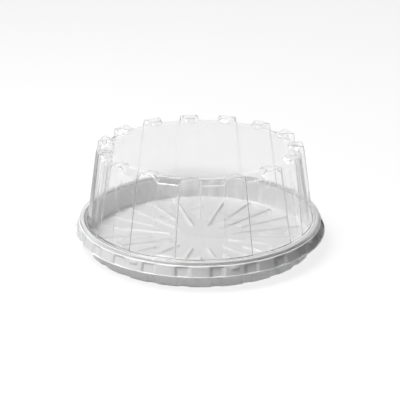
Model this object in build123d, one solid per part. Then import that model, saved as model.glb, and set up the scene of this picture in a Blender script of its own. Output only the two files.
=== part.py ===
from build123d import *
import os
from math import hypot, sqrt

# Round cake container: a clear domed lid that caps the rim of a white tray.
# Millimetres, +Z up. The origin is the middle of the tray's underside and -Y is the front.

# Tray sheet and well
traySheet = 0.7          # wall of the white sheet
wellRadius = 127.6       # inside of the well at the floor
wellDraft = 0.4          # how much the well opens by its top
wellHeight = 25.5        # floor's underside to the top of the upright wall
floorBevel = 1.2         # bevel where the wall meets the floor

# Tray rim, from the well outwards
shoulderHeight = 4.7     # the sloped shoulder that the lid's plug drops into
shoulderFlare = 2.2
rimWidth = 3.0           # flat on top of the rim
riserHeight = 2.8        # step that the lid's edge hangs over
riserFlare = 0.4
shelfWidth = 2.2         # narrow shelf below the lid's edge
skirtHeight = 10.0
skirtFlare = 3.8
lipWidth = 0.6
lipHeight = 0.8          # the lip hangs this far below the skirt

# Floor ribs: long and short ones by turns
ribPairs = 12
ribHeight = 1.8
ribWidth = 3.2
ribSlope = 0.7           # how far a rib's flank leans in from its foot to its crest
ribEndGap = 6.6          # flat floor left between a rib and the wall
longRibStart = 33.0      # from the middle of the floor
shortRibStart = 55.0

# Grooves pressed into the well's wall, and pads down the skirt in line with them
padCount = 24
padPhase = 7.5           # degrees from +X to the first one
grooveWidth = 13.0
grooveDepth = 1.4
grooveTopGap = 2.0       # plain wall left between a groove and the shoulder
padWidth = 14.0
padDepth = 1.1
padTopGap = 0.6          # plain skirt left above a pad

# Snap bumps on the skirt
bumpCount = 8
bumpPhase = 15.0
bumpWidth = 9.0
bumpHeight = 3.4
bumpProud = 0.8
bumpDrop = 1.2           # from the shelf to the top of a bump

# Fit of the lid on the tray
fitGap = 0.3             # between the two sheets wherever they don't rest on each other
plugDepth = 2.0          # the groove that drops inside the tray's shoulder
plugFloor = 1.6          # width of that groove's flat bottom
plugLean = 0.4           # how far its inner side leans in

# Lid sheet and dome
lidSheet = 0.5           # wall of the clear sheet
roofHeight = 78.2        # flange to the flat roof
roofFall = 4.4           # height of the sloped band round the roof
roofBand = 9.8           # width of that band, seen from above
domeTaper = 12.0         # how much the wall closes in from the flange to that band

# Pillars: outward flutes of the dome's wall, each ending in a lug above the roof
pillarCount = 15
pillarPhase = 0.9        # degrees from +X to the first one
pillarFootWidth = 32.0   # across its root at the flange
pillarTopWidth = 23.6    # across its root at the shoulder
pillarFlank = 1.7        # how far a flank leans in from root to face
pillarFootDepth = 3.7    # from the recessed wall out to the corners of its face
pillarTopDepth = 3.9
lugHeight = 3.0          # above the roof
lugDraft = 1.3           # how far the lug's face leans in above the shoulder
crownWidth = 20.0        # across the lug's crest at its face
crownDepth = 4.0         # from there in to where the crest narrows to a stem
crownSlope = 3.0         # how far the crown's inner sides lean
stemWidth = 12.4         # across the stem's outer end
stemTipWidth = 9.6       # across its inner end
stemReach = 3.0          # how far the stem's crest runs in over the flat roof
stemSlope = 2.0          # how far the stem's inner end leans

# How far a cutting solid runs past the surface that it opens
cutReach = 1.0

# Worked out from the sizes above
rimHeight = wellHeight + shoulderHeight
wellTopRadius = wellRadius + wellDraft
rimInnerRadius = wellTopRadius + shoulderFlare
rimOuterRadius = rimInnerRadius + rimWidth
riserFootRadius = rimOuterRadius + riserFlare
shelfRadius = riserFootRadius + shelfWidth
shelfHeight = rimHeight - riserHeight
skirtRadius = shelfRadius + skirtFlare
skirtFoot = shelfHeight - skirtHeight
skirtSlope = skirtFlare / skirtHeight
lipFoot = skirtFoot - lipHeight
flangeHeight = rimHeight + lidSheet
roofTop = flangeHeight + roofHeight
eavesHeight = roofTop - roofFall
plugOuterRadius = rimInnerRadius - fitGap - lidSheet
plugInnerRadius = plugOuterRadius - plugDepth * shoulderFlare / shoulderHeight
pillarFootRadius = plugInnerRadius - plugFloor - plugLean
recessFootRadius = pillarFootRadius - pillarFootDepth
eavesRadius = recessFootRadius - domeTaper
pillarTopRadius = eavesRadius + pillarTopDepth
roofRadius = eavesRadius - roofBand
stemTipRadius = roofRadius - stemReach


def offsetPoints(points, depth):
    # The same outline moved to the right of its direction by depth, with mitred corners.
    steps = [(b[0] - a[0], b[1] - a[1]) for a, b in zip(points, points[1:])]
    rights = [(dz / hypot(dr, dz), -dr / hypot(dr, dz)) for dr, dz in steps]
    before = [rights[0]] + rights
    after = rights + [rights[-1]]
    moved = []
    for (r, z), (ar, az), (br, bz) in zip(points, before, after):
        share = depth / (1 + ar * br + az * bz)
        moved.append((r + share * (ar + br), z + share * (az + bz)))
    return moved


def turned(outline):
    # The solid swept by an outline in radius and height about the vertical axis.
    return revolve(Plane.XZ * make_face(Polyline(*outline, close=True)), Axis.Z)


def sheetOf(surface, sheet):
    # One round sheet, given by the upper surface from the middle outwards.
    return turned(surface + offsetPoints(surface, sheet)[::-1])


def coreOf(surface, sheet, close):
    # Everything inside the middle of a round sheet, closed by a flat at the height close.
    middle = offsetPoints(surface, sheet / 2)
    return turned(middle + [(middle[-1][0], close), (0, close)])


def slab(sections):
    # The convex solid through (height, [(distance out, half width), ...]) sections, along +X.
    corners = [(x, side * half, z) for z, points in sections for x, half in points for side in (-1, 1)]
    return ConvexPolyhedron(corners)


def around(shape, count, phase=0.0):
    # Copies of a shape at equal turns about the vertical axis.
    return [Rot(0, 0, phase + turn * 360 / count) * shape for turn in range(count)]


def chordDistance(radius, half):
    # How far from the axis a flat face lies whose corners are on a circle.
    return sqrt(radius ** 2 - half ** 2)


def trayShoulder():
    # Rim of the tray as its upper surface, from the well's top to the skirt's foot.
    return [
        (wellTopRadius, wellHeight),
        (rimInnerRadius, rimHeight),
        (rimOuterRadius, rimHeight),
        (riserFootRadius, shelfHeight),
        (shelfRadius, shelfHeight),
        (skirtRadius, skirtFoot),
    ]


def trayWell():
    return [
        (0, traySheet),
        (wellRadius - floorBevel, traySheet),
        (wellRadius, traySheet + floorBevel),
        (wellTopRadius, wellHeight),
    ]


def ribSolid(start, grow):
    # A rib's outside (grow is the sheet) or the hollow beneath it (grow is nothing).
    half = ribWidth / 2 - traySheet + grow
    crest = half - ribSlope * half / (ribWidth / 2)
    bottom = traySheet / 2 if grow else -cutReach
    inner = start + traySheet - grow
    outer = wellRadius - ribEndGap - traySheet + grow
    return slab([
        (bottom, [(inner, half), (outer, half)]),
        (ribHeight + grow, [(inner + ribSlope, crest), (outer - ribSlope, crest)]),
    ])


def ribSet(grow):
    shortRibs = around(ribSolid(shortRibStart, grow), ribPairs)
    longRibs = around(ribSolid(longRibStart, grow), ribPairs, 180 / ribPairs)
    return shortRibs + longRibs


def wallGroove(grow):
    # A groove in the well's wall, open outwards, or its sheet where grow is the sheet.
    half = grooveWidth / 2 + grow
    top = wellHeight - grooveTopGap + grow
    outside = wellRadius + traySheet
    foot = outside - grooveDepth - grow
    reach = outside + wellDraft + cutReach
    return slab([
        (-cutReach, [(foot, half), (reach, half)]),
        (top - grooveDepth, [(foot + wellDraft, half), (reach, half)]),
        (top, [(foot + wellDraft + grooveDepth, half), (reach, half)]),
    ])


def skirtPad(grow):
    # A recessed pad down the skirt, open outwards, or its sheet where grow is the sheet.
    half = padWidth / 2 + grow
    low = lipFoot if grow else skirtFoot
    high = shelfHeight - padTopGap + grow
    lowRadius = skirtRadius - (low - skirtFoot) * skirtSlope
    highRadius = skirtRadius - (high - skirtFoot) * skirtSlope
    depth = padDepth + grow
    return slab([
        (low, [(chordDistance(lowRadius, half) - depth, half), (lowRadius + cutReach, half)]),
        (high, [(chordDistance(highRadius, half) - depth, half), (highRadius + cutReach, half)]),
    ])


def skirtBump():
    # A snap bump, rooted in the middle of the skirt's sheet.
    high = shelfHeight - bumpDrop
    low = high - bumpHeight
    highRadius = shelfRadius + bumpDrop * skirtSlope
    lowRadius = highRadius + bumpHeight * skirtSlope
    bevel = bumpProud * skirtSlope
    half = bumpWidth / 2
    return slab([
        (low, [(lowRadius - traySheet / 2, half)]),
        (low + bumpProud, [(lowRadius - bevel + bumpProud, half - bumpProud)]),
        (high - bumpProud, [(highRadius + bevel + bumpProud, half - bumpProud)]),
        (high, [(highRadius - traySheet / 2, half)]),
    ])


def skirtLip():
    # The flat edge all round the skirt's foot, wide enough to close the pads from below.
    inner = skirtRadius - padDepth - traySheet
    outer = skirtRadius + lipWidth
    return turned([(inner, lipFoot), (outer, lipFoot), (outer, skirtFoot), (inner, skirtFoot)])


def baseTray():
    shoulder = trayShoulder()
    wellCore = coreOf(trayWell(), traySheet, rimHeight)
    shelf, corner, foot = offsetPoints(shoulder, traySheet / 2)[-3:]
    skirtCore = turned([shelf, corner, foot, (foot[0], lipFoot), (shelf[0], lipFoot)])
    tray = sheetOf(trayWell()[:-1] + shoulder, traySheet) + [skirtLip()]
    tray = tray + ribSet(traySheet)
    tray = tray + around(wallGroove(traySheet) & wellCore, padCount, padPhase)
    tray = tray + around(skirtPad(traySheet) & skirtCore, padCount, padPhase)
    tray = tray + around(skirtBump(), bumpCount, bumpPhase)
    tray = tray - ribSet(0)
    tray = tray - around(wallGroove(0), padCount, padPhase)
    tray = tray - around(skirtPad(0), padCount, padPhase)
    return tray


def domeWall():
    # Upper surface of the dome between the pillars, from the middle of the roof to the flange.
    return [
        (0, roofTop),
        (roofRadius, roofTop),
        (eavesRadius, eavesHeight),
        (recessFootRadius, flangeHeight),
    ]


def lidFlange():
    # Ledge at the pillars' feet, plug groove, flange and turned-down edge with a small bend.
    edgeRadius = riserFootRadius + fitGap + lidSheet
    return [
        (pillarFootRadius, flangeHeight),
        (plugInnerRadius - plugFloor, flangeHeight - plugDepth),
        (plugInnerRadius, flangeHeight - plugDepth),
        (plugOuterRadius, flangeHeight),
        (edgeRadius - lidSheet, flangeHeight),
        (edgeRadius, flangeHeight - lidSheet),
        (edgeRadius, shelfHeight + fitGap),
    ]


def pillarSection(rootRadius, faceRadius, rootHalf, back, shrink):
    # Half of a pillar's outline at one height: back edge, root corner, face corner.
    lean = (pillarFootWidth - pillarTopWidth) / 2 / domeTaper
    root = chordDistance(rootRadius, rootHalf) - shrink
    face = chordDistance(faceRadius, rootHalf - pillarFlank) - shrink
    return [
        (back, rootHalf - shrink - lean * (root - back)),
        (root, rootHalf - shrink),
        (face, rootHalf - pillarFlank - shrink),
    ]


def pillarTop(back, shrink):
    # The section that a pillar and its lug share.
    return (eavesHeight, pillarSection(eavesRadius, pillarTopRadius, pillarTopWidth / 2, back, shrink))


def pillar(shrink):
    # A pillar's outside, or the hollow behind its sheet where shrink is the sheet.
    foot = flangeHeight - lidSheet / 2 - shrink
    rootHalf = pillarFootWidth / 2
    footSection = pillarSection(recessFootRadius, pillarFootRadius, rootHalf, stemTipRadius, shrink)
    return slab([(foot, footSection), pillarTop(stemTipRadius, shrink)])


def lug(shrink):
    # The lug above a pillar: a crown as wide as the pillar, and a stem in over the roof.
    crest = roofTop + lugHeight - shrink
    crownHalf = crownWidth / 2
    face = chordDistance(pillarTopRadius - lugDraft, crownHalf) - shrink
    crownStart = face - crownDepth + shrink
    crown = slab([
        pillarTop(crownStart - crownSlope, shrink),
        (crest, [(crownStart, crownHalf - shrink), (face, crownHalf - shrink)]),
    ])
    stemStart = stemTipRadius + shrink
    stemFoot = stemStart - (crest - eavesHeight) * stemSlope / lugHeight
    stem = slab([
        pillarTop(stemFoot, shrink),
        (crest, [(stemStart, stemTipWidth / 2 - shrink), (face, stemWidth / 2 - shrink)]),
    ])
    return crown + stem


def domeLid():
    core = coreOf(domeWall(), lidSheet, flangeHeight - 2 * lidSheet)
    proud = (pillar(0) + lug(0)) - core
    lid = sheetOf(domeWall() + lidFlange(), lidSheet) + around(proud, pillarCount, pillarPhase)
    lid = lid - around(pillar(lidSheet), pillarCount, pillarPhase)
    lid = lid - around(lug(lidSheet), pillarCount, pillarPhase)
    return lid


def main():
    os.makedirs("parts", exist_ok=True)
    for name, part in (("base_tray", baseTray()), ("dome_lid", domeLid())):
        export_step(part, f"parts/{name}.step")
        print(name, "solids", len(part.solids()), "volume", round(part.volume, 1))


main()
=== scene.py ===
import bpy
import numpy as np
from math import radians
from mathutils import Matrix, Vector


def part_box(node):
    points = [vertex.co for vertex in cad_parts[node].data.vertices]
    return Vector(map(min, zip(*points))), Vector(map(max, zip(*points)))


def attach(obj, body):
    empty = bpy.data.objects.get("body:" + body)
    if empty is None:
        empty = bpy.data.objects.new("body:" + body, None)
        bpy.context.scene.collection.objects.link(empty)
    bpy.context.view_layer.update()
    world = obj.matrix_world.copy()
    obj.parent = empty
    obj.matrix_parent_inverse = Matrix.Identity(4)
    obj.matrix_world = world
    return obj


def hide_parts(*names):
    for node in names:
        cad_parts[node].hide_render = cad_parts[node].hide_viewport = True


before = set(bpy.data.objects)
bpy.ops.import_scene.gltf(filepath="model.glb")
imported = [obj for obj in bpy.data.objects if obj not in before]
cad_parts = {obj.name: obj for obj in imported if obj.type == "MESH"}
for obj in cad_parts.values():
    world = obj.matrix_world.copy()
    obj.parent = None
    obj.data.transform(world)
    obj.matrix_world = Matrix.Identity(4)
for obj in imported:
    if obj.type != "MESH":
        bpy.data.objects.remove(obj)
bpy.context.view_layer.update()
print("frame loaded")

mm = 0.001  # the two shapes are given in millimetres, and each mesh is made in metres
tiny = 1e-6
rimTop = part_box("base_tray")[1][2] / mm      # the lid's flange lies on this
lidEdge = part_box("dome_lid")[1][0] / mm      # radius of the lid's turned-down edge


# Points along lines of corners, shape (..., corners, values), whose first two values are the place.
# Each leg is divided into its steps, crowded towards its ends. Each inner corner is cut short by
# its cut and bridged by the quadratic curve (1-t)^2 a + 2t(1-t) corner + t^2 b. Any further
# values follow along.
def roundedLine(corners, cuts, steps):
    longestCut = 0.45         # as a share of the shorter leg beside the corner
    crowding = 0.65           # 0 for even steps
    bendSteps = 4
    corners = np.asarray(corners, float)
    legs = np.diff(corners, axis=-2)
    lengths = np.linalg.norm(legs[..., :2], axis=-1)
    ways = legs / np.maximum(lengths, 1e-9)[..., None]
    cuts = np.minimum(cuts, longestCut * np.minimum(lengths[..., :-1], lengths[..., 1:]))
    bend = np.linspace(0, 1, bendSteps + 1)[1:-1, None]
    made = []
    for leg, count in enumerate(steps):
        start, end = corners[..., leg, :], corners[..., leg + 1, :]
        if leg > 0:
            start = start + cuts[..., leg - 1, None] * ways[..., leg, :]
        if leg < len(steps) - 1:
            end = end - cuts[..., leg, None] * ways[..., leg, :]
        even = np.linspace(0, 1, count + 1)
        along = ((1 - crowding) * even + crowding * (1 - np.cos(np.pi * even)) / 2)[:, None]
        made.append(start[..., None, :] * (1 - along) + end[..., None, :] * along)
        if leg < len(steps) - 1:
            corner = corners[..., leg + 1, :]
            after = corner + cuts[..., leg, None] * ways[..., leg + 1, :]
            a, middle, b = (point[..., None, :] for point in (end, corner, after))
            made.append((1 - bend) ** 2 * a + 2 * bend * (1 - bend) * middle + bend ** 2 * b)
    return np.concatenate(made, axis=-2)


# 0 below low and 1 above high, with the smooth step 3t^2 - 2t^3 between.
def smoothStep(value, low, high):
    t = np.clip((value - low) / (high - low), 0, 1)
    return t * t * (3 - 2 * t)


# 1 up to a flank that ends at the edge, and 0 beyond it.
def within(value, edge, flank):
    return 1 - smoothStep(value, edge - flank, edge)


# The angle whose sine is half over radius, and 30 degrees at most.
def angleOf(half, radius):
    return np.arcsin(np.clip(half / np.maximum(radius, tiny), 0, 0.5))


# Slow unevenness of a drawn sheet, from -1 to 1: a sum of sines of x and y, with seeded
# directions, phases and lengths.
def unevenness(x, y, wavelength, seed):
    waves = 6
    shortest, spread = 0.7, 0.8    # of the lengths, as shares of the wavelength
    random = np.random.default_rng(seed)
    total = np.zeros_like(x)
    for turn, phase, stretch in random.random((waves, 3)):
        angle = 2 * np.pi * turn
        length = wavelength * (shortest + spread * stretch)
        along = x * np.cos(angle) + y * np.sin(angle)
        total += np.sin(along * 2 * np.pi / length + 2 * np.pi * phase)
    return total / waves


def addObject(name, data):
    made = bpy.data.objects.new(name, data)
    bpy.context.scene.collection.objects.link(made)
    return made


# A mesh on rings about the vertical axis: grid is (rings, columns, 3), the first ring is one point,
# and the columns close round. Quads run outwards then anticlockwise, so they face up and out.
def ringMesh(name, grid):
    rings, columns = grid.shape[:2]
    points = np.vstack([grid[0, :1], grid[1:].reshape(-1, 3)]) * mm
    ring = 1 + np.arange((rings - 1) * columns).reshape(rings - 1, columns)
    beside = np.roll(ring, -1, axis=1)
    fan = np.stack([np.zeros(columns, int), ring[0], beside[0]], axis=-1)
    quads = np.stack([ring[:-1], ring[1:], beside[1:], beside[:-1]], axis=-1).reshape(-1, 4)
    mesh = bpy.data.meshes.new(name)
    mesh.from_pydata(points.tolist(), [], fan.tolist() + quads.tolist())
    mesh.polygons.foreach_set("use_smooth", np.ones(len(mesh.polygons), bool))
    mesh.update()
    return addObject(name, mesh)


# The mesh is the sheet's upper and outer face, and the thickness lies under it.
def giveSheet(piece, thickness):
    solid = piece.modifiers.new("sheet", "SOLIDIFY")
    solid.thickness = thickness * mm
    solid.offset = -1
    solid.use_even_offset = True


trayShape = {
    "sheet": 0.7,
    "wellRadius": 127.6,      # inside of the well at the floor
    "wellDraft": 0.4,
    "wellHeight": 25.5,
    "shoulderFlare": 2.2,     # slope from the wall up to the rim
    "rimWidth": 3.0,
    "riserHeight": 2.8,
    "riserFlare": 0.4,
    "shelfWidth": 2.2,
    "skirtHeight": 10.0,
    "skirtFlare": 3.8,
    "lipWidth": 0.6,
    # reach of the bend at each inner corner of the profile, from the axis outwards
    "bends": [0, 0, 0, 0, 0, 0, 1.6, 0.7, 0.5, 0.5, 0.4, 1.0, 0.2],
    "ribPairs": 12,
    "ribHeight": 1.8,
    "ribWidth": 3.2,
    "ribSlope": 0.6,          # width of a rib's flank
    "longRibStart": 33.0,
    "shortRibStart": 55.0,
    "ribEnd": 121.0,
    "grooveWidth": 13.0,
    "grooveDepth": 1.4,
    "grooveTop": 23.5,
    "grooveFlank": 0.8,       # of the pads and the snap bumps too
    "grooveFull": 1.8,        # from the wall's foot inwards to where a groove is at full depth
    "padWidth": 14.0,
    "padDepth": 1.1,
    "padTopGap": 0.6,         # plain skirt left above a pad
    "bumpEvery": 3,           # a snap bump at every third rib
    "bumpFirst": 1,
    "bumpWidth": 9.0,
    "bumpHeight": 3.4,
    "bumpProud": 0.8,
    "bumpDrop": 1.2,          # from the shelf to the top of a bump
    "floorLift": 0.25,        # how far the floor has sprung up from flat, here and there
    "liftWave": 95.0,         # from one lift to the next
    "liftCalm": 30.0,         # from the ribs' ends inwards to where the lift is full
    "liftSeed": 4,
    # the grid: steps of each leg of the profile, and of each span between the columns' marks
    "rows": [3, 6, 4, 6, 5, 6, 2, 9, 3, 3, 3, 2, 10, 1],
    "columns": [1, 3, 2, 3, 2],
    "startRows": (3.0, 4.0),  # fine rows from this far inside a rib's start to this far outside it
    "endRows": (4.0, 1.5),    # and the same at the ribs' ends
    "handover": (3.0, 1.0),   # columns pass from ribs to snap bumps this far inside the wall's foot
    "flankFrom": 12.8,        # columns keep a flank's true width from this radius outwards
    "grooveFrom": 60.0,       # and a groove's from this one
    "grooveMargin": 0.4,      # from a groove's edge to the column beside it
}


# The tray is a profile turned about the axis, P(s, a) = (r(s) cos a, r(s) sin a, z(s)), with its
# ribs, grooves, pads and bumps added as height or depth. Columns follow the flanks of each.
def makeTray(shape):
    sheet = shape["sheet"]
    wellTop = shape["wellRadius"] + shape["wellDraft"]
    rimInner = wellTop + shape["shoulderFlare"]
    rimOuter = rimInner + shape["rimWidth"]
    shelfZ = rimTop - shape["riserHeight"]
    riserFoot = rimOuter + shape["riserFlare"]
    shelf = riserFoot + shape["shelfWidth"]
    skirt = shelf + shape["skirtFlare"]
    skirtFoot = shelfZ - shape["skirtHeight"]
    beforeStart, afterStart = shape["startRows"]
    beforeEnd, afterEnd = shape["endRows"]
    floorEdge = shape["ribEnd"] + afterEnd
    profile = [
        (0, sheet),
        (shape["longRibStart"] - beforeStart, sheet),
        (shape["longRibStart"] + afterStart, sheet),
        (shape["shortRibStart"] - beforeStart, sheet),
        (shape["shortRibStart"] + afterStart, sheet),
        (shape["ribEnd"] - beforeEnd, sheet),
        (floorEdge, sheet),
        (shape["wellRadius"], sheet),
        (wellTop, shape["wellHeight"]),
        (rimInner, rimTop),
        (rimOuter, rimTop),
        (riserFoot, shelfZ),
        (shelf, shelfZ),
        (skirt, skirtFoot),
        (skirt + shape["lipWidth"], skirtFoot),
    ]
    line = roundedLine(profile, shape["bends"], shape["rows"])
    # a corner without a bend gives its point more than once
    moved = np.linalg.norm(np.diff(line, axis=0), axis=1) > tiny
    line = line[np.append(True, moved)]
    radius, height = line[:, 0], line[:, 1]

    # the marks of half a sector are a rib's middle, crest edge and foot (a snap bump's from the
    # wall outwards), then a groove's edge, flank and middle
    footShare = 0.45          # a rib's foot goes no further towards the groove's edge than this
    crestShare = 0.3          # and its crest keeps at least this share of it
    flankShare = 0.9          # a groove's flank against a rib's
    sectors = 2 * shape["ribPairs"]
    halfTurn = np.pi / sectors
    ribSide, bumpSide = (shape["wellRadius"] - inwards for inwards in shape["handover"])
    atBumps = smoothStep(radius, ribSide, bumpSide)
    footHalf = shape["ribWidth"] / 2 * (1 - atBumps) + shape["bumpWidth"] / 2 * atBumps
    softness = angleOf(shape["ribSlope"], np.maximum(radius, shape["flankFrom"]))
    edgeHalf = shape["grooveWidth"] / 2 + shape["grooveMargin"]
    edge = halfTurn - angleOf(edgeHalf, np.maximum(radius, shape["grooveFrom"]))
    foot = np.minimum(angleOf(footHalf, radius), footShare * edge)
    marks = np.stack([
        np.zeros_like(foot),
        np.maximum(foot - softness, crestShare * foot),
        foot,
        edge,
        edge + flankShare * softness,
        np.full_like(foot, halfTurn),
    ], axis=-1)
    spans = np.diff(marks, axis=1)
    halfSector = np.concatenate([
        marks[:, k, None] + spans[:, k, None] * np.linspace(0, 1, count, endpoint=False)
        for k, count in enumerate(shape["columns"])
    ] + [marks[:, -1:]], axis=1)
    sector = np.concatenate([-halfSector[:, :0:-1], halfSector[:, :-1]], axis=1)
    sectorTurn = 2 * np.pi / sectors * np.arange(sectors)
    angle = sectorTurn[None, :, None] + sector[:, None, :]
    r = np.broadcast_to(radius[:, None, None], angle.shape)
    z = np.broadcast_to(height[:, None, None], angle.shape)
    across = r * np.sin(sector)[:, None, :]
    along = r * np.cos(sector)[:, None, :]

    # a rib is as high as its distance from the rib's middle line allows
    isLong = (np.arange(sectors) % 2 == 1)[None, :, None]
    half = shape["ribWidth"] / 2
    start = np.where(isLong, shape["longRibStart"], shape["shortRibStart"]) + half
    past = along - np.clip(along, start, shape["ribEnd"] - half)
    ribShare = within(np.hypot(across, past), half, shape["ribSlope"])
    floorRow = (np.abs(height - sheet) < tiny)[:, None, None]
    z = z + np.where(floorRow, shape["ribHeight"] * ribShare, 0)

    # grooves and pads lie between the ribs: the distance from their middle line
    between = r * np.sin(halfTurn - np.abs(sector))[:, None, :]
    flank = shape["grooveFlank"]
    grooveShare = within(between, shape["grooveWidth"] / 2, flank)
    reach = smoothStep(radius, floorEdge, shape["wellRadius"] - shape["grooveFull"])
    reach = reach * within(height, shape["grooveTop"], shape["grooveDepth"])
    reach = np.where(radius < wellTop + tiny, reach, 0)
    r = r - reach[:, None, None] * grooveShare * shape["grooveDepth"]
    padShare = within(between, shape["padWidth"] / 2, flank)
    onSkirt = within(height, shelfZ - shape["padTopGap"], flank)
    onSkirt = onSkirt * (1 - smoothStep(radius, skirt, skirt + shape["lipWidth"] / 2))
    onSkirt = np.where(radius > shelf - tiny, onSkirt, 0)
    r = r - onSkirt[:, None, None] * padShare * shape["padDepth"]

    # snap bumps near the top of the skirt
    hasBump = (np.arange(sectors) % shape["bumpEvery"] == shape["bumpFirst"])[None, :, None]
    bumpHalf = shape["bumpHeight"] / 2
    middle = shelfZ - shape["bumpDrop"] - bumpHalf
    rise = np.where(radius > shelf, within(np.abs(height - middle), bumpHalf, flank), 0)
    width = within(np.abs(across), shape["bumpWidth"] / 2, flank)
    r = r + np.where(hasBump, rise[:, None, None] * width * shape["bumpProud"], 0)

    x, y = r * np.cos(angle), r * np.sin(angle)
    uneven = unevenness(x, y, shape["liftWave"], shape["liftSeed"])
    lift = shape["floorLift"] * (0.5 + 0.5 * uneven)
    lift = lift * smoothStep(shape["ribEnd"] - radius, 0, shape["liftCalm"])[:, None, None]
    grid = np.stack([x, y, z + lift], axis=-1).reshape(len(radius), -1, 3)
    piece = ringMesh("trayShell", grid)
    giveSheet(piece, sheet)
    return piece


lidShape = {
    "sheet": 0.5,
    "roofHeight": 78.2,       # flange to the flat roof
    "roofRadius": 101.0,
    "roofFall": 4.4,          # from the flat roof to the eaves
    "eavesRadius": 110.8,
    "recessFoot": 122.8,      # radius of the wall between the pillars, at the flange
    "pillarFoot": 126.5,
    "pillars": 15,
    "pillarPhase": 0.9,       # degrees from +X to the first one
    "pillarFootWidth": 32.0,
    "pillarTopWidth": 23.6,
    "pillarFlank": 1.7,
    "pillarTop": 114.7,       # radius of the face's corners at the eaves
    "footInset": 0.4,         # the pillar meets the flange this far inside its foot
    "lugHeight": 3.0,
    "lugFace": 113.4,         # radius of the face's corners at the crest
    "crownWidth": 20.0,
    "crownStart": 108.9,      # the crest widens here from a stem to the crown
    "crownBlend": 0.8,        # and takes this far to each side for it
    "crownSlope": 3.0,
    "stemWidth": 12.0,
    "stemTip": 98.0,          # the stem's inner end
    "stemTipWidth": 9.6,
    "stemSlope": 2.0,
    "stemTaper": 0.5,         # narrowing of the tip's slope, on each side
    # how far the foot of a lug's flank lies outside its crest, from the stem's end outwards
    "lugFlanks": (1.0, 2.0, 2.4, 1.2, -0.2),
    "plugDepth": 2.0,
    "plugTop": 129.4,
    "plugFoot": 128.5,
    "plugFloor": 1.6,
    "edgeFoot": 27.7,         # height of the turned-down edge's end
    # reach of the bend at each inner corner of the profiles, from the roof to the edge
    "bends": [0.8, 0.8, 0.8, 0.4, 0.9, 0.8, 1.0, 0.3, 0.35, 0.35, 0.35, 0.7],
    "flankSoftness": 0.7,     # how far the bends of the flanks reach
    "flankFrom": 30.0,        # true to size from this radius outwards
    "flankShare": 0.4,        # and never more than this share of the flank
    "roofSag": 0.5,           # how far the roof has sunk from flat, here and there
    "sagWave": 120.0,         # from one sunk place to the next
    "sagCalm": (2.0, 25.0),   # level ring inside the stems, and the way inwards to the full sag
    "sagSeed": 11,
    # the grid: steps of each leg of the profiles, and of the face, flank and recess
    "rows": [9, 2, 3, 2, 3, 3, 14, 2, 2, 2, 2, 3, 3],
    "columns": [3, 2, 4],
}


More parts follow.
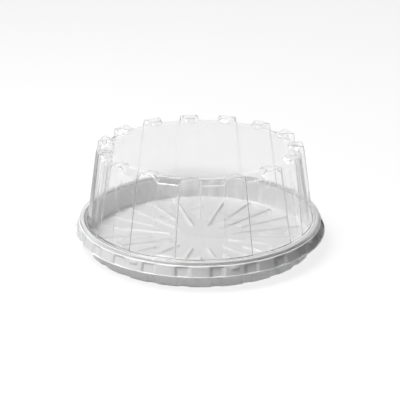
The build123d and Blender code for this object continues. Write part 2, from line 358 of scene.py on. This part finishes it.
# The lid blends two profiles, one between the pillars and one down a pillar's middle:
# P = (1 - w) recess(s) + w pillar(s), where w goes from 0 to 1 across the pillar's flank.
# Each corner of a profile carries the half width of the flank's foot or top. A pillar's corner
# also says if its face is flat (1) or round (0).
def makeLid(shape):
    flange = rimTop + shape["sheet"]
    roof = flange + shape["roofHeight"]
    eaves = roof - shape["roofFall"]
    crest = roof + shape["lugHeight"]
    footHalf, topHalf, crownHalf, stemHalf, tipHalf = (
        shape[name] / 2
        for name in ("pillarFootWidth", "pillarTopWidth", "crownWidth", "stemWidth", "stemTipWidth")
    )
    flank, blend, flare = shape["pillarFlank"], shape["crownBlend"], shape["lugFlanks"]
    stemFoot = shape["stemTip"] - shape["stemSlope"]
    crownFoot = shape["crownStart"] - shape["crownSlope"]
    roofSlope = shape["roofFall"] / (shape["eavesRadius"] - shape["roofRadius"])
    crownFootZ, crownStartZ = (
        roof - roofSlope * (r - shape["roofRadius"]) for r in (crownFoot, shape["crownStart"])
    )
    plugInner = shape["plugFoot"] - shape["plugFloor"]
    shared = [
        (shape["pillarFoot"], flange),
        (plugInner, flange - shape["plugDepth"]),
        (shape["plugFoot"], flange - shape["plugDepth"]),
        (shape["plugTop"], flange),
        (lidEdge, flange),
        (lidEdge, shape["edgeFoot"]),
    ]
    recess = [
        (0, roof, 0),
        (stemFoot, roof, tipHalf + flare[0]),
        (shape["stemTip"], roof, tipHalf + flare[1]),
        (shape["roofRadius"], roof, stemHalf + flare[2]),
        (crownFoot, crownFootZ, crownHalf + flare[3]),
        (shape["crownStart"], crownStartZ, topHalf + flare[4]),
        (shape["eavesRadius"], eaves, topHalf),
        (shape["recessFoot"], flange, footHalf),
    ] + [(r, z, footHalf) for r, z in shared]
    pillar = [
        (0, roof, 0, 0),
        (stemFoot, roof, tipHalf - shape["stemTaper"], 0),
        (shape["stemTip"], crest, tipHalf, 0),
        (shape["crownStart"] - blend, crest, stemHalf, 0),
        (shape["crownStart"] + blend, crest, crownHalf, 1),
        (shape["lugFace"], crest, crownHalf, 1),
        (shape["pillarTop"], eaves, topHalf - flank, 1),
        (shape["pillarFoot"] - shape["footInset"], flange, footHalf - flank, 1),
    ] + [(r, z, footHalf - flank, 0) for r, z in shared]
    low = roundedLine(recess, shape["bends"], shape["rows"])
    high = roundedLine(pillar, shape["bends"], shape["rows"])

    rootTurn = angleOf(low[:, 2], low[:, 0])
    faceTurn = angleOf(high[:, 2], high[:, 0])
    rootTurn[0], faceTurn[0] = rootTurn[1], faceTurn[1]
    halfSector = np.pi / shape["pillars"]
    softness = angleOf(shape["flankSoftness"], np.maximum(low[:, 0], shape["flankFrom"]))
    softness = np.minimum(softness, shape["flankShare"] * (rootTurn - faceTurn))
    zero = np.zeros_like(rootTurn)
    across = np.stack([
        np.stack([zero, zero + 1], axis=-1),
        np.stack([faceTurn, zero + 1], axis=-1),
        np.stack([rootTurn, zero], axis=-1),
        np.stack([zero + halfSector, zero], axis=-1),
    ], axis=-2)
    # w is made small beside the angle here, so that the cuts are measured along the angle
    scale = np.array([1.0, 0.02])
    line = roundedLine(across * scale, softness[:, None], shape["columns"]) / scale
    turn, share = line[..., 0], line[..., 1]
    turn = np.concatenate([-turn[:, :0:-1], turn[:, :-1]], axis=1)
    share = np.concatenate([share[:, :0:-1], share[:, :-1]], axis=1)

    # a flat face follows the chord between its corners, r = R cos(face) / cos(turn)
    face = faceTurn[:, None]
    chord = 1 - high[:, 3, None] * (1 - np.cos(face) / np.cos(np.minimum(np.abs(turn), face)))
    r = (1 - share) * low[:, 0, None] + share * high[:, 0, None] * chord
    z = (1 - share) * low[:, 1, None] + share * high[:, 1, None]
    pillarTurn = 2 * np.pi / shape["pillars"] * np.arange(shape["pillars"])
    sectorTurn = radians(shape["pillarPhase"]) + pillarTurn
    angle = sectorTurn[None, :, None] + turn[:, None, :]
    r = np.broadcast_to(r[:, None, :], angle.shape)
    z = np.broadcast_to(z[:, None, :], angle.shape)
    x, y = r * np.cos(angle), r * np.sin(angle)
    levelRing, sagRise = shape["sagCalm"]
    onRoof = smoothStep(stemFoot - levelRing - r, 0, sagRise)
    uneven = unevenness(x, y, shape["sagWave"], shape["sagSeed"])
    z = z - onRoof * shape["roofSag"] * (0.5 - 0.5 * uneven)
    grid = np.stack([x, y, z], axis=-1).reshape(len(low), -1, 3)
    piece = ringMesh("lidShell", grid)
    giveSheet(piece, shape["sheet"])
    return piece


# Sets a socket to a number, or links it to another node's output.
def feed(links, socket, value):
    if isinstance(value, (int, float)):
        socket.default_value = value
    else:
        links.new(value, socket)


def mathNode(nodes, links, operation, first, second):
    node = nodes.new("ShaderNodeMath")
    node.operation = operation
    feed(links, node.inputs[0], first)
    feed(links, node.inputs[1], second)
    return node.outputs["Value"]


def mixNode(nodes, links, factor, first, second):
    node = nodes.new("ShaderNodeMix")
    for name, value in (("Factor", factor), ("A", first), ("B", second)):
        feed(links, node.inputs[name], value)
    return node.outputs["Result"]


# 0 at the first value of span and 1 at the second, which may be the lower one, with a smooth
# step between.
def rampNode(nodes, links, value, span):
    ramp = nodes.new("ShaderNodeMapRange")
    ramp.interpolation_type = "SMOOTHSTEP"
    ramp.inputs["From Min"].default_value, ramp.inputs["From Max"].default_value = span
    links.new(value, ramp.inputs["Value"])
    return ramp.outputs["Result"]


# Distance from the vertical axis.
def axisDistance(nodes, links, place):
    flat = nodes.new("ShaderNodeVectorMath")
    flat.operation = "MULTIPLY"
    flat.inputs[1].default_value = (1, 1, 0)
    links.new(place.outputs["Object"], flat.inputs[0])
    distance = nodes.new("ShaderNodeVectorMath")
    distance.operation = "LENGTH"
    links.new(flat.outputs["Vector"], distance.inputs[0])
    return distance.outputs["Value"]


def newMaterial(name):
    material = bpy.data.materials.new(name)
    material.use_nodes = True
    nodes, links = material.node_tree.nodes, material.node_tree.links
    return material, nodes, links, nodes["Principled BSDF"]


sheetGrain = {
    "streakDetail": 3,
    "grainScale": 900.0,
    "grainDetail": 2,
    "noiseSpan": (0.3, 0.7),  # noise at which the gloss is lowest and highest
}


# Fine unevenness of a formed plastic sheet, from Object coordinates: broad streaks that vary the
# gloss, and a small grain for the bump. Gives a gloss value, a tone and a height.
def sheetGrainGroup(values):
    group = bpy.data.node_groups.new("sheetGrain", "ShaderNodeTree")
    sockets = {
        "INPUT": ("Streak Scale", "Low", "High", "Grain Share"),
        "OUTPUT": ("Gloss", "Tone", "Height"),
    }
    for side, names in sockets.items():
        for name in names:
            group.interface.new_socket(name, in_out=side, socket_type="NodeSocketFloat")
    nodes, links = group.nodes, group.links
    given = nodes.new("NodeGroupInput")
    out = nodes.new("NodeGroupOutput")
    place = nodes.new("ShaderNodeTexCoord")
    noises = []
    for scale, detail in (
        (given.outputs["Streak Scale"], values["streakDetail"]),
        (values["grainScale"], values["grainDetail"]),
    ):
        noise = nodes.new("ShaderNodeTexNoise")
        noise.inputs["Detail"].default_value = detail
        feed(links, noise.inputs["Scale"], scale)
        links.new(place.outputs["Object"], noise.inputs["Vector"])
        noises.append(noise.outputs["Fac"])
    streaks, fine = noises
    gloss = nodes.new("ShaderNodeMapRange")
    gloss.inputs["From Min"].default_value, gloss.inputs["From Max"].default_value = values["noiseSpan"]
    links.new(streaks, gloss.inputs["Value"])
    links.new(given.outputs["Low"], gloss.inputs["To Min"])
    links.new(given.outputs["High"], gloss.inputs["To Max"])
    height = mixNode(nodes, links, given.outputs["Grain Share"], streaks, fine)
    links.new(gloss.outputs["Result"], out.inputs["Gloss"])
    links.new(streaks, out.inputs["Tone"])
    links.new(height, out.inputs["Height"])
    return group


# Puts the grain into a material and its height on the shader, and returns the group's node.
def addGrain(nodes, links, shader, grain, finish):
    uneven = nodes.new("ShaderNodeGroup")
    uneven.node_tree = grain
    uneven.inputs["Streak Scale"].default_value = finish["streakScale"]
    uneven.inputs["Low"].default_value = finish["glossLow"]
    uneven.inputs["High"].default_value = finish["glossHigh"]
    uneven.inputs["Grain Share"].default_value = finish["grainShare"]
    bump = nodes.new("ShaderNodeBump")
    bump.inputs["Strength"].default_value = finish["bump"]
    bump.inputs["Distance"].default_value = finish["bumpDepth"]
    links.new(uneven.outputs["Height"], bump.inputs["Height"])
    links.new(bump.outputs["Normal"], shader.inputs["Normal"])
    return uneven


trayFinish = {
    "dark": (0.80, 0.80, 0.80),
    "light": (0.85, 0.85, 0.85),
    "streakScale": 12.0,
    "glossLow": 0.22,         # roughness where the sheet is smoothest
    "glossHigh": 0.34,
    "grainShare": 0.3,        # of the grain in the bump, beside the streaks
    "glow": 0.9,              # how much light the thin sheet spreads inside and lets through
    "glowColours": (1, 1, 1),     # all spread alike
    "glowDepth": 0.0022,
    "bump": 0.06,
    "bumpDepth": 0.0003,
}


# White satin sheet: its tone and gloss drift a little, and a fine grain breaks the highlights.
def trayMaterial(finish, grain):
    material, nodes, links, shader = newMaterial("whiteSheet")
    uneven = addGrain(nodes, links, shader, grain, finish)
    shader.inputs["Subsurface Weight"].default_value = finish["glow"]
    shader.inputs["Subsurface Radius"].default_value = finish["glowColours"]
    shader.inputs["Subsurface Scale"].default_value = finish["glowDepth"]
    tone = nodes.new("ShaderNodeMix")
    tone.data_type = "RGBA"
    tone.inputs["A"].default_value = (*finish["dark"], 1)
    tone.inputs["B"].default_value = (*finish["light"], 1)
    links.new(uneven.outputs["Tone"], tone.inputs["Factor"])
    links.new(tone.outputs["Result"], shader.inputs["Base Color"])
    links.new(uneven.outputs["Gloss"], shader.inputs["Roughness"])
    return material


lidFinish = {
    "colour": (0.97, 0.97, 0.97),
    "index": 1.57,
    "haze": 0.09,                     # added roughness of the flat roof
    "hazeHeight": (0.1070, 0.1080),   # none below the first height, full above the second, in metres
    "hazeRadius": (0.0990, 0.0930),   # none outside the first radius, full inside the second
    "lamp": (0.95, 0.95, 0.95),       # what the sheet lets through of a lamp's light
    "streakScale": 16.0,
    "glossLow": 0.0,
    "glossHigh": 0.02,
    "grainShare": 0.02,
    "bump": 0.05,
    "bumpDepth": 0.0008,
}


# Clear sheet: plain glass of polyester's index, with slight haze and waviness. Lamps pass through
# it, a little weakened, so that what is under the lid is lit.
def lidMaterial(finish, grain):
    material, nodes, links, shader = newMaterial("clearSheet")
    shader.inputs["Base Color"].default_value = (*finish["colour"], 1)
    shader.inputs["Transmission Weight"].default_value = 1
    shader.inputs["IOR"].default_value = finish["index"]
    uneven = addGrain(nodes, links, shader, grain, finish)
    place = nodes.new("ShaderNodeTexCoord")
    apart = nodes.new("ShaderNodeSeparateXYZ")
    links.new(place.outputs["Object"], apart.inputs["Vector"])
    atRoof = rampNode(nodes, links, apart.outputs["Z"], finish["hazeHeight"])
    inward = rampNode(nodes, links, axisDistance(nodes, links, place), finish["hazeRadius"])
    haze = mathNode(nodes, links, "MULTIPLY", atRoof, finish["haze"])
    haze = mathNode(nodes, links, "MULTIPLY", inward, haze)
    gloss = mathNode(nodes, links, "ADD", uneven.outputs["Gloss"], haze)
    links.new(gloss, shader.inputs["Roughness"])
    clear = nodes.new("ShaderNodeBsdfTransparent")
    clear.inputs["Color"].default_value = (*finish["lamp"], 1)
    path = nodes.new("ShaderNodeLightPath")
    lamps, bounced = path.outputs["Is Shadow Ray"], path.outputs["Is Diffuse Ray"]
    mix = nodes.new("ShaderNodeMixShader")
    links.new(mathNode(nodes, links, "MAXIMUM", lamps, bounced), mix.inputs["Fac"])
    links.new(shader.outputs["BSDF"], mix.inputs[1])
    links.new(clear.outputs["BSDF"], mix.inputs[2])
    links.new(mix.outputs["Shader"], nodes["Material Output"].inputs["Surface"])
    return material


studio = {
    "floorSize": 8.0,
    "floorColour": 0.70,      # what lights the object from below
    "seenColour": 0.18,       # what the eye sees, lifted to white
    "seenLift": 0.83,
    "floorRoughness": 0.8,
    "floorGloss": 0.1,
    "tableEdge": (0.14, 0.27),    # over these distances the table darkens for reflected light
    "dark": 0.10,             # the room's own light, and the floor beyond the table
    "bright": 0.88,           # pale screens all round, as mirrors see them
    "screenTop": (0.75, 0.45),    # sine of the height at which they end and at which they are full
    "aim": (0, 0, 0.05),
    "lamps": {                # place, power and size of each round soft lamp
        "keyLamp": ((-0.68, -0.22, 1.35), 24.5, 1.0),
        "topLamp": ((-0.10, 0.25, 1.60), 3.5, 1.6),
        "frontLamp": ((-0.66, -1.30, 0.42), 3.8, 1.4),
    },
}


# The floor is plain and pale. The eye, mirrors and clear walls see it lifted to white, but with
# the object's shadow. For light that any surface reflects, it is a table in a dark room: past the
# table's edge mirrors see no lift, and rough surfaces get a lift below zero, which takes light
# away from them and shades the skirt.
def makeFloor(values):
    half = values["floorSize"] / 2
    corners = [(-half, -half, 0), (half, -half, 0), (half, half, 0), (-half, half, 0)]
    mesh = bpy.data.meshes.new("floor")
    mesh.from_pydata(corners, [], [(0, 1, 2, 3)])
    floor = addObject("floor", mesh)
    material, nodes, links, shader = newMaterial("paleFloor")
    path = nodes.new("ShaderNodeLightPath")
    place = nodes.new("ShaderNodeTexCoord")
    far = rampNode(nodes, links, axisDistance(nodes, links, place), values["tableEdge"])
    gone = mathNode(nodes, links, "MULTIPLY", far, path.outputs["Is Reflection Ray"])
    seen = path.outputs["Is Camera Ray"]
    for name in ("Is Glossy Ray", "Is Transmission Ray"):
        seen = mathNode(nodes, links, "MAXIMUM", seen, path.outputs[name])
    shade = mixNode(nodes, links, seen, values["floorColour"], values["seenColour"])
    shade = mixNode(nodes, links, gone, shade, values["dark"])
    links.new(shade, shader.inputs["Base Color"])
    shader.inputs["Roughness"].default_value = values["floorRoughness"]
    shader.inputs["Specular IOR Level"].default_value = values["floorGloss"]
    shader.inputs["Emission Color"].default_value = (1, 1, 1, 1)
    lit = mathNode(nodes, links, "SUBTRACT", seen, gone)
    lift = mathNode(nodes, links, "MULTIPLY", lit, values["seenLift"])
    links.new(lift, shader.inputs["Emission Strength"])
    mesh.materials.append(material)


def turnTowards(piece, place, target):
    piece.location = place
    way = Vector(target) - Vector(place)
    piece.rotation_euler = way.to_track_quat("-Z", "Y").to_euler()


def makeLamps(values):
    for name, (place, power, size) in values["lamps"].items():
        light = bpy.data.lights.new(name, "AREA")
        light.energy = power
        light.shape = "DISK"
        light.size = size
        turnTowards(addObject(name, light), place, values["aim"])


# The eye sees white all round. Mirrors see a ring of pale screens under a dark ceiling, which
# draws the sheet's edges, and clear walls see it at full white. All else is lit by a dim room.
def makeWorld(values):
    world = bpy.data.worlds.new("studio")
    bpy.context.scene.world = world
    world.use_nodes = True
    nodes, links = world.node_tree.nodes, world.node_tree.links
    background = nodes["Background"]
    background.inputs["Color"].default_value = (1, 1, 1, 1)
    way = nodes.new("ShaderNodeTexCoord")
    apart = nodes.new("ShaderNodeSeparateXYZ")
    links.new(way.outputs["Generated"], apart.inputs["Vector"])
    screens = rampNode(nodes, links, apart.outputs["Z"], values["screenTop"])
    path = nodes.new("ShaderNodeLightPath")
    reflected, glossy = path.outputs["Is Reflection Ray"], path.outputs["Is Glossy Ray"]
    mirrored = mathNode(nodes, links, "MULTIPLY", reflected, glossy)
    mirrored = mathNode(nodes, links, "MULTIPLY", mirrored, values["bright"])
    bent = mathNode(nodes, links, "MAXIMUM", mirrored, path.outputs["Is Transmission Ray"])
    bent = mathNode(nodes, links, "MULTIPLY", bent, screens)
    strength = mathNode(nodes, links, "MAXIMUM", path.outputs["Is Camera Ray"], bent)
    strength = mathNode(nodes, links, "MAXIMUM", strength, values["dark"])
    links.new(strength, background.inputs["Strength"])


photoCamera = {
    "place": (0, -1.0616, 0.4637),
    "target": (0, 0, 0.028),
    "lens": 91.56,
    "sensor": 36,
    "shiftY": 0.0375,
}


def makeCamera(values):
    camera = addObject("photoCamera", bpy.data.cameras.new("photoCamera"))
    turnTowards(camera, values["place"], values["target"])
    camera.data.lens = values["lens"]
    camera.data.sensor_width = values["sensor"]
    camera.data.shift_y = values["shiftY"]
    bpy.context.scene.camera = camera


def main():
    grain = sheetGrainGroup(sheetGrain)
    tray = makeTray(trayShape)
    tray.data.materials.append(trayMaterial(trayFinish, grain))
    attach(tray, "base")
    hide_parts("base_tray")
    print("tray made")
    lid = makeLid(lidShape)
    lid.data.materials.append(lidMaterial(lidFinish, grain))
    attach(lid, "lid")
    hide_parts("dome_lid")
    print("lid made")
    makeFloor(studio)
    makeWorld(studio)
    makeLamps(studio)
    makeCamera(photoCamera)
    bpy.context.scene.view_settings.view_transform = "Standard"
    print("studio ready")


main()
